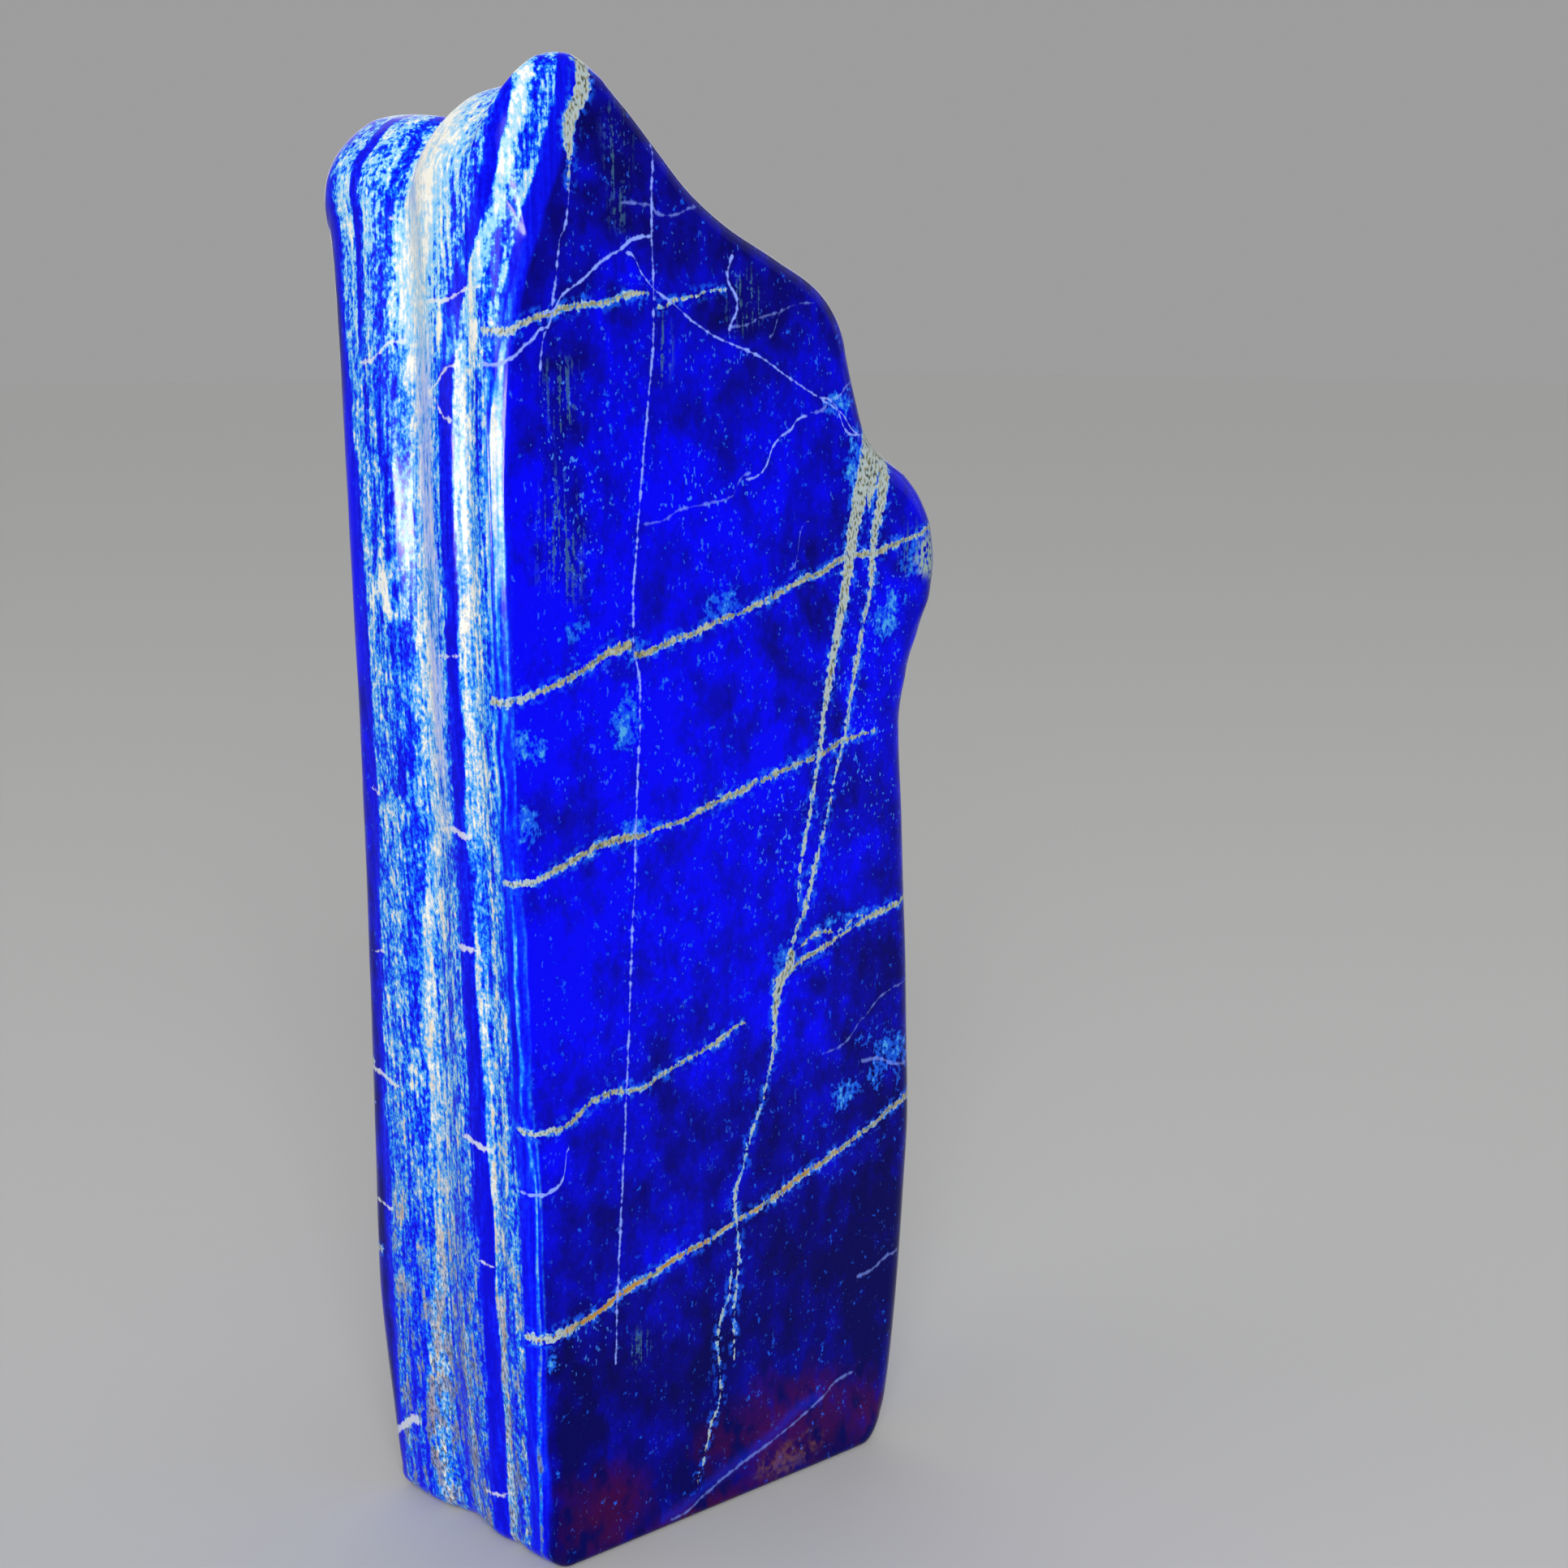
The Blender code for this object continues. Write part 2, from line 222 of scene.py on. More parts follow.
def spread(points, count):
    """Takes count points along a line, even in its length plus a share of its turning."""
    step = np.diff(points[:, :2], axis=0)
    length = np.linalg.norm(step, axis=1)
    heading = np.unwrap(np.arctan2(step[:, 1], step[:, 0]))
    turn = np.abs(np.diff(heading, prepend=heading[0]))
    measure = np.concatenate([[0], np.cumsum(length + TURN_LENGTH * turn)])
    at = np.linspace(0, measure[-1], count, endpoint=False)
    return np.stack([np.interp(at, measure, column) for column in points.T], axis=1)


def stations():
    """The outline from the middle of its base, with as many stations up the left as down the right."""
    ring = outline()
    in_base = np.flatnonzero(ring[:, 1] <= 0)
    middle = in_base[np.argmin(np.abs(ring[in_base, 0] - SPINE_FOOT[0]))]
    ring = np.roll(ring, -middle, axis=0)
    ring = np.concatenate([ring, ring[:1]])
    on_top = np.flatnonzero(ring[:, 1] > SPINE_HEAD[1])
    head = on_top[np.argmin(np.abs(ring[on_top, 0] - SPINE_HEAD[0]))]
    return np.concatenate([spread(ring[: head + 1], STATIONS // 2), spread(ring[head:], STATIONS // 2)])


def side_relief(depth_share, height):
    """How far the left side is moved to +X: two bell-shaped grooves less the crown, the splay and the back lobe."""
    groove = (depth_share - smooth_through(GROOVE_PLACE)(height)) / smooth_through(GROOVE_WIDTH)(height)
    flute = (depth_share - smooth_through(FLUTE_PLACE)(height)) / smooth_through(FLUTE_WIDTH)(height)
    relief = smooth_through(GROOVE_DEPTH)(height) * np.exp(-(groove**2))
    relief += smooth_through(FLUTE_DEPTH)(height) * np.exp(-(flute**2))
    relief -= SIDE_CROWN * 4 * depth_share * (1 - depth_share) + SIDE_SPLAY * depth_share
    lobe = ((depth_share - LOBE_PLACE) / LOBE_WIDTH) ** 2 + ((height - LOBE_HEIGHT) / LOBE_SPAN) ** 2
    return relief - LOBE_SWELL * np.exp(-lobe)


def right_relief(depth_share):
    """How far the right side is moved to +X: the swell across it less the taper to the back."""
    return RIGHT_CROWN * 4 * depth_share * (1 - depth_share) - RIGHT_TAPER * depth_share**2


def back_level(x, z, inward):
    """Depth of the back: the thickness at that height, a crown and one slow wave, both nil at the rim."""
    wave = np.sin(2 * np.pi * x / BACK_WAVE_ACROSS) * np.sin(2 * np.pi * z / BACK_WAVE_UP)
    crown = 1 - (1 - inward) ** 2
    return smooth_through(THICKNESS)(z) + (BACK_CROWN + BACK_WAVE * wave) * crown


def ripple(y, z):
    """Long ripples up the layered side: three sine waves across the layers, whose phase drifts with the height."""
    drift = RIPPLE_DRIFT * np.sin(2 * np.pi * z / RIPPLE_DRIFT_LENGTH)
    waves = [np.sin(2 * np.pi * (y + drift * k) / length) for k, length in enumerate(RIPPLE_LENGTHS, 1)]
    return RIPPLE_HEIGHT * sum(waves) / len(waves)


def unevenness(x, y, z):
    """Slow hand-polished unevenness: three crossed sine waves in x, y and z, nil at the base."""
    first, second, third = UNEVEN_LENGTHS
    wave = np.sin(2 * np.pi * (x / first + y / second))
    wave = wave + np.sin(2 * np.pi * (z / second - x / third)) + np.sin(2 * np.pi * (y / third + z / first))
    return UNEVEN_HEIGHT / 3 * wave * ease((z - UNEVEN_FROM) / UNEVEN_FADE)


def eased(radius):
    """The edge's radius by station, averaged with its neighbours over and over."""
    for _ in range(RADIUS_SMOOTHING):
        radius = (np.roll(radius, 1) + 2 * radius + np.roll(radius, -1)) / 4
    return radius


def stone_rows():
    """Every row of the stone as points, from the broad face's middle line around the edges to the back's.

    A row is the outline moved inward by the edge's quarter-round, at that round's depth, and the broad faces
    are the rim drawn in step by step to the middle line. Every station moves on its own straight line to the
    middle line, so that no two of them cross at a corner.
    """
    ring = stations()
    x, z, front_radius, back_radius = ring.T
    ahead, behind = np.roll(ring[:, :2], -1, axis=0), np.roll(ring[:, :2], 1, axis=0)
    along = (ahead - behind) / np.linalg.norm(ahead - behind, axis=1, keepdims=True)
    outward = np.stack([-along[:, 1], along[:, 0]], axis=1)
    front_radius, back_radius = eased(front_radius), eased(back_radius)
    thickness = smooth_through(THICKNESS)(z)
    half = STATIONS // 2
    climb = np.concatenate([np.arange(half), half - np.arange(half)]) / half
    spine = np.array(SPINE_FOOT) + climb[:, None] * (np.array(SPINE_HEAD) - np.array(SPINE_FOOT))
    pull = spine - ring[:, :2]
    pull = pull / -(outward * pull).sum(axis=1, keepdims=True)
    left_share = ease((FLUTES_END_X - x) / FLUTES_FADE)
    right_share = ease((x - RIGHT_FROM_X) / RIGHT_FADE)
    drop_share = ease((z - TOP_DROP_FROM) / TOP_DROP_SPAN)

    def row(inset, y, inward=0.0):
        depth_share = np.clip(y / thickness, 0, 1)
        flat = ring[:, :2] + pull * inset[:, None]
        flat = flat + (spine - flat) * inward
        shift = (side_relief(depth_share, z) + ripple(y, z) * ease(depth_share * 8)) * left_share
        shift = shift + right_relief(depth_share) * right_share
        drop = smooth_through(TOP_DROP)(depth_share) * drop_share
        return np.stack([flat[:, 0] + shift * (1 - inward), y, flat[:, 1] - drop * (1 - inward)], axis=1)

    rows = []
    for k in range(FACE_ROWS, 0, -1):
        inward = k / FACE_ROWS
        rows.append(row(front_radius, -FACE_CROWN * (1 - (1 - inward) ** 2) * np.ones_like(x), inward))
    for k in range(FRONT_EDGE_ROWS + 1):
        angle = np.pi / 2 * k / FRONT_EDGE_ROWS
        rows.append(row(front_radius * (1 - np.sin(angle)), front_radius * (1 - np.cos(angle))))
    for k in range(1, SIDE_ROWS):
        between = front_radius + (thickness - back_radius - front_radius) * k / SIDE_ROWS
        rows.append(row(0 * x, between))
    for k in range(BACK_EDGE_ROWS + 1):
        angle = np.pi / 2 * k / BACK_EDGE_ROWS
        rows.append(row(back_radius * (1 - np.cos(angle)), thickness - back_radius * (1 - np.sin(angle))))
    for k in range(1, BACK_ROWS + 1):
        inward = k / BACK_ROWS
        closing = row(back_radius, thickness, inward)
        closing[:, 1] = back_level(closing[:, 0], closing[:, 2], inward)
        rows.append(closing)
    return np.array(rows) + np.array([FOOT_PLACE[0], FOOT_PLACE[1], 0.0])


def stone_faces(count):
    """Four-sided faces between neighbouring rows. On the two closing rows station i is station N less i."""
    index = np.arange(count * STATIONS).reshape(count, STATIONS)
    mirrored = (STATIONS - np.arange(STATIONS)) % STATIONS
    for closing in (0, count - 1):
        index[closing] = np.minimum(index[closing], index[closing][mirrored])
    here, there = index[:-1], index[1:]
    quads = np.stack([here, np.roll(here, -1, axis=1), np.roll(there, -1, axis=1), there], axis=-1)
    return quads.reshape(-1, 4)


def make_stone():
    """One closed mesh from the rows, each point sunk along its normal by the unevenness, kept in the CAD box."""
    rows = stone_rows()
    faces = stone_faces(len(rows))
    used, faces = np.unique(faces, return_inverse=True)
    faces = faces.reshape(-1, 4)
    points = rows.reshape(-1, 3)[used]
    across = np.cross(points[faces[:, 2]] - points[faces[:, 0]], points[faces[:, 3]] - points[faces[:, 1]])
    normals = np.zeros_like(points)
    for side in faces.T:
        np.add.at(normals, side, across)
    normals /= np.linalg.norm(normals, axis=1, keepdims=True) + 1e-12
    points = points - normals * unevenness(*points.T)[:, None]
    points = np.clip(points, CAD_BOX[0], CAD_BOX[1])
    mesh = bpy.data.meshes.new("lapis_stone_polished")
    mesh.from_pydata(points.tolist(), [], faces.tolist())
    mesh.validate()
    mesh.shade_smooth()
    stone = bpy.data.objects.new("lapis_stone_polished", mesh)
    bpy.context.scene.collection.objects.link(stone)
    return stone


# The stone's pattern, in millimetres from here on: x to the right, y to the back, z up, as in the frame
FRONT = -25.5

MIX_FIRST, MIX_SECOND, MIX_RESULT = 6, 7, 2


class Field:
    """A number, colour or direction at every point of the stone, worked out by the material's nodes."""

    def __init__(self, socket):
        self.socket = socket

    def __add__(self, other):
        return combine("ADD", self, other)

    def __sub__(self, other):
        return combine("SUBTRACT", self, other)

    def __rsub__(self, other):
        return combine("SUBTRACT", other, self)

    def __mul__(self, other):
        return combine("MULTIPLY", self, other)

    def __truediv__(self, other):
        return combine("DIVIDE", self, other)

    def __abs__(self):
        return combine("ABSOLUTE", self)

    __radd__ = __add__
    __rmul__ = __mul__


def feed(entry, value):
    """Joins a field to a node's entry, or sets the entry to a plain value."""
    if isinstance(value, Field):
        value.socket.id_data.links.new(value.socket, entry)
    else:
        entry.default_value = value


def new_node(kind, like):
    """A new node in the tree that the field like belongs to."""
    return like.socket.id_data.nodes.new(kind)


def combine(operation, *values):
    """One Math node."""
    node = new_node("ShaderNodeMath", next(value for value in values if isinstance(value, Field)))
    node.operation = operation
    for entry, value in zip(node.inputs, values):
        feed(entry, value)
    return Field(node.outputs[0])


def rise(field, low, high):
    """0 up to low, 1 from high, with a smooth step between; low above high turns it round."""
    node = new_node("ShaderNodeMapRange", field)
    node.interpolation_type = "SMOOTHSTEP"
    for name, value in (("Value", field), ("From Min", low), ("From Max", high)):
        feed(node.inputs[name], value)
    return Field(node.outputs[0])


def limited(field, low=0.0, high=1.0):
    """The field kept between two numbers."""
    return combine("MINIMUM", combine("MAXIMUM", field, low), high)


class Scale:
    """A field measured along a fixed stretch, so that many curves can be read from it."""

    def __init__(self, field, start, end):
        self.start, self.span = start, end - start
        self.share = combine("MULTIPLY_ADD", field, 1 / self.span, -start / self.span)

    def curve(self, points):
        """A smooth curve through listed points of place and result, level beyond its ends."""
        results = [result for _, result in points]
        low, reach = min(results), max(max(results) - min(results), 1e-6)
        node = new_node("ShaderNodeFloatCurve", self.share)
        node.mapping.extend = "HORIZONTAL"
        shape = node.mapping.curves[0]
        spots = [((place - self.start) / self.span, (result - low) / reach) for place, result in points]
        spots = [(0.0, spots[0][1])] + [spot for spot in spots if 0 < spot[0] < 1] + [(1.0, spots[-1][1])]
        shape.points[0].location = spots[0]
        shape.points[1].location = spots[-1]
        for spot in spots[1:-1]:
            shape.points.new(*spot)
        for point in shape.points:
            point.handle_type = "AUTO_CLAMPED"
        node.mapping.update()
        feed(node.inputs["Value"], self.share)
        return combine("MULTIPLY_ADD", Field(node.outputs[0]), reach, low)


def vector(operation, *values):
    """One Vector Math node, whose result is a direction or, for LENGTH, a number."""
    node = new_node("ShaderNodeVectorMath", next(value for value in values if isinstance(value, Field)))
    node.operation = operation
    for entry, value in zip(node.inputs, values):
        feed(entry, value)
    return Field(node.outputs["Value" if operation == "LENGTH" else "Vector"])


def noise(place, size, detail=2.0, roughness=0.5, distortion=0.0):
    """Cloudy noise from 0 to 1 about a middle of 0.5, with clouds of about size millimetres."""
    node = new_node("ShaderNodeTexNoise", place)
    feed(node.inputs["Vector"], place)
    node.inputs["Scale"].default_value = 1 / size
    node.inputs["Detail"].default_value = detail
    node.inputs["Roughness"].default_value = roughness
    node.inputs["Distortion"].default_value = distortion
    return Field(node.outputs["Fac"])


def noise_vector(place, size, detail=1.0):
    """Three unlike noises at once, each from 0 to 1."""
    node = new_node("ShaderNodeTexNoise", place)
    feed(node.inputs["Vector"], place)
    node.inputs["Scale"].default_value = 1 / size
    node.inputs["Detail"].default_value = detail
    return Field(node.outputs["Color"])


def parts(field):
    """The three numbers of a direction or colour."""
    node = new_node("ShaderNodeSeparateXYZ", field)
    feed(node.inputs[0], field)
    return [Field(socket) for socket in node.outputs]


def paint(colour):
    """A colour from three sRGB values of 0 to 255, as the shader's linear light."""
    shares = [value / 255 for value in colour]
    linear = [s / 12.92 if s <= 0.04045 else ((s + 0.055) / 1.055) ** 2.4 for s in shares]
    return (*linear, 1.0)


def over(under, colour, share):
    """Lays a colour over another by a share of 0 to 1."""
    node = new_node("ShaderNodeMix", share)
    node.data_type = "RGBA"
    feed(node.inputs[0], share)
    feed(node.inputs[MIX_FIRST], under)
    feed(node.inputs[MIX_SECOND], colour)
    return Field(node.outputs[MIX_RESULT])


def ramp(field, stops):
    """A colour read from listed stops of field and colour."""
    node = new_node("ShaderNodeValToRGB", field)
    feed(node.inputs[0], field)
    elements = node.color_ramp.elements
    elements[0].position, elements[0].color = stops[0][0], paint(stops[0][1])
    elements[1].position, elements[1].color = stops[-1][0], paint(stops[-1][1])
    for position, colour in stops[1:-1]:
        elements.new(position).color = paint(colour)
    return Field(node.outputs[0])


def clouds(place, spots, fray):
    """Egg-shaped clouds: 1 in the middle of each, falling to 0 at its reach, with the rim moved by fray."""
    away = None
    for middle, reach in spots:
        scaled = vector("MULTIPLY_ADD", place, [1 / r for r in reach], [-m / r for m, r in zip(middle, reach)])
        length = vector("LENGTH", scaled)
        away = length if away is None else combine("MINIMUM", away, length)
    return rise(away + fray, 1.1, 0.35)


# Four marker surfaces among the layers, as depth by height: the middle of the cream band, the back of the deep
# blue band before it, the pale line near the front edge, and the front of the blue at the back edge
CREAM_MIDDLE = [
    (0, 5.2), (15, 4.6), (30, 3.4), (50, 2), (70, 0.4), (90, 1), (105, 0.2), (120, -2.6), (135, -4.6), (150, -5),
    (170, -4), (190, -2.6), (207, -1.6), (220, -3), (250, -5),
]
DEEP_BLUE_BACK = [
    (0, -8.8), (10, -9.6), (20, -10.5), (30, -11.2), (45, -11.4), (75, -10.8), (95, -10.4), (120, -11),
    (145, -12.2), (170, -12.4), (190, -12.4), (205, -13), (215, -15.4), (225, -19), (235, -22), (250, -24),
]
PALE_LINE = [
    (0, -18.6), (30, -20.6), (60, -21.5), (90, -20.4), (120, -20.6), (145, -21.9), (200, -22.4), (208, -23.6),
    (217, -26), (228, -30), (236, -33), (250, -36),
]
BACK_BLUE = [
    (0, 17.2), (15, 16.6), (30, 15.4), (45, 15), (60, 15.2), (82, 14.2), (105, 12.8), (120, 11.4), (135, 10.2),
    (150, 9.9), (180, 10.2), (190, 11.6), (205, 13.4), (225, 15.4), (250, 17.5),
]
FRONT_LAYER_SCALE = 10.0

# Where the left rim runs, as x by height, and how far the layers bend round it onto the broad face
LEFT_RIM = [
    (0, -40.9), (12, -42.1), (40, -44.1), (78, -44.9), (120, -46.5), (150, -48.3), (180, -48.9), (215, -48.5),
    (250, -48.1),
]
BEND_FROM = 1.0
BEND_REACH = 16.0

# Whiteness across the fluted side at six heights: depth from the back round the front-left edge, and whiteness
BANDS = {
    20: [
        (24, .06), (17, .08), (16, .40), (15, .56), (13.6, .50), (12.6, .40), (11.2, .24), (10, .44), (8.8, .26),
        (7.8, .54), (6.6, .66), (4.2, .74), (3, .60), (1.8, .58), (.6, .44), (-.7, .30), (-1.8, .24), (-2.6, .40),
        (-3.6, .62), (-5, .70), (-6, .56), (-7, .50), (-9, .48), (-10.2, .42), (-10.9, .08), (-13.4, .05),
        (-14, .36), (-14.5, .84), (-16, .76), (-16.7, .50), (-17.6, .50), (-18.8, .46), (-20, .58), (-20.8, .38),
        (-21.4, .16), (-22.8, .14), (-23.3, .50), (-24, .16), (-25.2, .14), (-25.7, .56), (-26.3, .16),
    ],
    60: [
        (24, .06), (16, .10), (15, .26), (14, .42), (13, .58), (11, .58), (9.4, .54), (8.4, .40), (7, .48),
        (5.6, .42), (4.6, .50), (3.6, .58), (2.4, .70), (1, .76), (-.4, .66), (-1.6, .60), (-2.6, .68),
        (-3.6, .62), (-4.6, .50), (-6, .42), (-7.4, .48), (-8.6, .54), (-10, .46), (-11, .32), (-11.6, .06),
        (-14.3, .07), (-14.8, .44), (-15.2, .76), (-16.4, .72), (-17.2, .54), (-18, .54), (-19.4, .66),
        (-20.4, .68), (-21.2, .50), (-22.2, .36), (-23, .16), (-24.6, .14), (-25.1, .58), (-25.6, .16),
        (-26.2, .50), (-26.7, .14),
    ],
    105: [
        (24, .06), (13.8, .10), (12.9, .32), (12, .56), (10.5, .54), (9, .50), (7.9, .56), (7.2, .66), (6.4, .50),
        (5.4, .44), (4, .34), (2.2, .38), (1.4, .60), (.2, .80), (-1, .78), (-1.8, .60), (-3, .54), (-4.2, .60),
        (-5, .68), (-6, .48), (-8, .56), (-9.4, .54), (-10.2, .46), (-10.9, .24), (-11.6, .14), (-13.2, .10),
        (-14.2, .34), (-14.8, .74), (-15.4, .66), (-16.2, .54), (-17.2, .48), (-18.2, .60), (-20, .60),
        (-21, .52), (-22, .36), (-22.6, .12), (-23.2, .12), (-23.8, .58), (-24.4, .14), (-25.6, .48), (-26.4, .12),
    ],
    145: [
        (24, .06), (10.6, .10), (9.6, .46), (8.4, .56), (6, .54), (4, .57), (3, .52), (2.2, .34), (.8, .44),
        (-.4, .30), (-1.2, .46), (-2, .58), (-3, .68), (-4.4, .78), (-6, .76), (-7, .68), (-8.6, .66),
        (-10.4, .60), (-11.6, .48), (-12.6, .16), (-14.2, .08), (-14.9, .24), (-15.3, .58), (-15.9, .74),
        (-17, .70), (-18, .76), (-19, .70), (-20.4, .62), (-21, .60), (-21.5, .52), (-22.2, .54), (-22.9, .62),
        (-23.5, .46), (-24, .16), (-24.5, .58), (-25, .14), (-25.8, .40), (-26.4, .12),
    ],
    190: [
        (24, .06), (12.2, .10), (11.4, .48), (10.4, .62), (9, .60), (8.2, .60), (7.4, .34), (6.6, .38), (6.2, .50),
        (5.2, .54), (4.6, .34), (4, .20), (2.8, .26), (2, .44), (.8, .40), (-.2, .38), (-1.2, .50), (-2.6, .68),
        (-4, .78), (-5.8, .72), (-8.6, .72), (-9.8, .56), (-11.4, .52), (-12.2, .34), (-12.8, .12), (-14.6, .10),
        (-15.4, .44), (-16, .74), (-18, .76), (-20, .68), (-20.8, .58), (-21.6, .54), (-22.4, .58), (-23.1, .64),
        # The white from -24.5 to -25.6 at this height lies on the front-left round: partly the stone's pale rim line,
        # partly a painted highlight along the gloss streak there
        (-23.8, .50), (-24.1, .30), (-24.5, .84), (-25.2, .84), (-25.6, .72), (-26, .34), (-26.4, .12),
    ],
    228: [
        (24, .10), (16.6, .10), (15.6, .20), (14.8, .36), (14, .46), (12.8, .60), (11.2, .66), (10.4, .38),
        (9.8, .10), (8.8, .12), (8.2, .52), (7, .64), (6, .58), (5, .62), (4.2, .60), (3.4, .40), (2.2, .26),
        (1.2, .52), (.2, .70), (-.8, .88), (-2.4, .94), (-6, .96), (-9, .96), (-12, .88), (-14, .78),
        (-16, .70), (-18, .60), (-19.2, .50), (-20, .34), (-20.8, .12), (-22.4, .10), (-23, .46), (-23.7, .76),
        (-25, .84), (-25.8, .78), (-26.4, .64), (-27.4, .40), (-28.6, .38), (-29.4, .64), (-30.2, .60),
        (-30.8, .18), (-33, .08),
    ],
}

# Colours by whiteness, from the deepest blue through azure to white
MINERALS = [
    (0.00, (3, 6, 202)), (0.16, (4, 14, 232)), (0.32, (6, 44, 238)), (0.44, (12, 94, 238)), (0.56, (40, 140, 238)),
    (0.70, (104, 176, 234)), (0.83, (174, 200, 228)), (0.94, (218, 222, 222)), (1.00, (238, 238, 230)),
]

# The blue of the broad faces, from navy to bright
BLUES = [
    (0.00, (3, 2, 84)), (0.26, (4, 2, 112)), (0.50, (4, 4, 148)), (0.76, (3, 4, 196)), (1.00, (2, 2, 238)),
]
# How bright the blue is by height and by width: partly the stone's own tone, partly painted shade that darkens it
# towards the foot and the right, where less light falls
BLUE_AND_SHADE_BY_HEIGHT = [
    (0, .10), (14, .14), (30, .26), (48, .38), (70, .52), (95, .74), (125, .88), (160, .82), (185, .76),
    (205, .64), (222, .48), (240, .42),
]
BLUE_AND_SHADE_BY_WIDTH = [(-49, .12), (-30, .08), (-5, .02), (10, -.03), (25, -.10), (45, -.14)]

# The cross veins of the broad face: half width by x, and height by x
CROSS_VEINS = [
    (
        [(-50, .6), (-42, .72), (-34, .56), (-26, .46), (-18.5, .32)],
        [(-50, 208), (-42, 210), (-34, 211.6), (-26, 213.2), (-18.5, 214.2)],
    ),
    (
        [(-17, .15), (-14, .3), (-5, .25), (-2, .1)],
        [(-17, 212.3), (-14, 212.9), (-8, 214.2), (-3, 215)],
    ),
    (
        [(-50, .8), (-46, .65), (-38, .6), (-30, .7), (-23.2, .9)],
        [(-50, 150.5), (-46, 150.8), (-42, 151.8), (-34, 154.6), (-26, 157.2), (-23, 157.8)],
    ),
    (
        [(-22, .8), (-14, .55), (0, .5), (14, .6), (30, .7), (45, .5), (53, .4)],
        [(-22, 156.3), (-14, 158), (-6, 160), (6, 163), (18, 167), (26, 169.2), (34, 170.2), (45, 172.5), (53, 174)],
    ),
    (
        [(-50, .4), (-45, .7), (-36, .65), (-28, .8), (-18, .45), (-8, .6), (6, .5), (20, .6), (30, .4), (33, .1)],
        [
            (-50, 122.3), (-47, 121.3), (-45, 121.2), (-38, 123), (-26, 126), (-14, 127), (-6, 129.2), (6, 132),
            (14, 134), (22, 135.5), (26, 136.8), (33, 137.6),
        ],
    ),
    (
        [(-49, .5), (-43, .65), (-30, .55), (-22, .45), (-10, .5), (-2, .4), (1.5, .15)],
        [
            (-49, 82), (-47, 80), (-45, 78.8), (-43, 78.6), (-36, 80), (-30, 82.7), (-27, 83), (-25, 82.5),
            (-18, 84), (-6, 87), (-3, 88), (1.5, 89.6),
        ],
    ),
    (
        [(8, .4), (14, .6), (26, .4), (34, .6), (48, .55)],
        [(8, 96), (14, 98), (22, 100.3), (30, 103), (38, 104.8), (48, 106)],
    ),
    (
        [(12, .25), (18, .4), (24, .25), (30, .15)],
        [(12, 100.5), (15, 101), (19, 102.3), (22, 102), (26, 102.8), (30, 104)],
    ),
    (
        [(-48, .45), (-45, .65), (-42, .85), (-30, .7), (-16, .65), (0, .55), (16, .7), (30, .6), (46, .65)],
        [
            (-48, 47), (-46, 44.5), (-44, 43), (-42, 42.8), (-36, 44.2), (-28, 46.4), (-16, 49.7), (-4, 52.8),
            (8, 56), (20, 59.6), (32, 63.3), (46, 67.6),
        ],
    ),
]
CROSS_CLIMB = 0.06
VEIN_THINNING = 0.08

# Grains of the veins: their cores from olive to pale, and their rims from azure to white
VEIN_CORE = [
    (0.34, (58, 70, 84)), (0.42, (112, 114, 86)), (0.52, (146, 145, 116)), (0.66, (170, 178, 164)),
]
VEIN_RIM = [
    (0.38, (18, 72, 226)), (0.50, (58, 132, 222)), (0.60, (122, 172, 208)), (0.72, (186, 204, 206)),
]

# The steep veins of the broad face: half width by height, and x by height
STEEP_VEINS = [
    (
        [(109, .2), (118, .38), (134, .46), (150, .95), (168, 1.3), (177, 1.7), (184, 2.2), (193, 1.6), (197, .7)],
        [
            (109, 14), (117, 15), (125, 17), (134, 18.8), (143, 20.3), (152, 22.5), (160, 24.3), (168, 26),
            (176, 27.8), (184, 30.2), (190, 31.8), (197, 33.5),
        ],
    ),
    (
        [
            (99, .4), (111, .6), (125, .36), (140, .4), (152, .7), (160, .5), (168, .9), (176, 1.1), (184, 1.7),
            (192, 1.9),
        ],
        [
            (99, 12.6), (107, 15.5), (115, 18.3), (123, 20.8), (132, 23.3), (140, 25.8), (148, 27.5), (156, 29.5),
            (164, 31.3), (172, 32.3), (180, 34), (192, 35.2),
        ],
    ),
    (
        [(177, .1), (181, 1), (187, 1.4), (192, 1)],
        [(177, 31), (181, 31.6), (187, 32.8), (192, 33.6)],
    ),
    (
        [(27, .1), (40, .3), (52, .35), (60, .42), (68, .3), (80, .42), (90, .7), (96, 1.2), (101, .8)],
        [
            (27, -1.3), (37, -1), (50, -.3), (56, -1), (63, 1), (70, 3.5), (77, 6.5), (84, 8.3), (92, 9),
            (96, 10.5), (101, 12.6),
        ],
    ),
    (
        [(5, .1), (13, .25), (26, .35), (37, .3), (45, .1)],
        [(5, -10), (10, -8.7), (17.5, -6.5), (24, -4.6), (30, -5.2), (37, -4), (45, -2)],
    ),
    (
        [(229, .1), (233, .4), (237, .85), (240, 1.3), (245, 1.7), (251, 1.8)],
        [(229, -34), (237, -33.9), (243, -32), (251, -30.8)],
    ),
]
STEEP_LEAN = 0.2

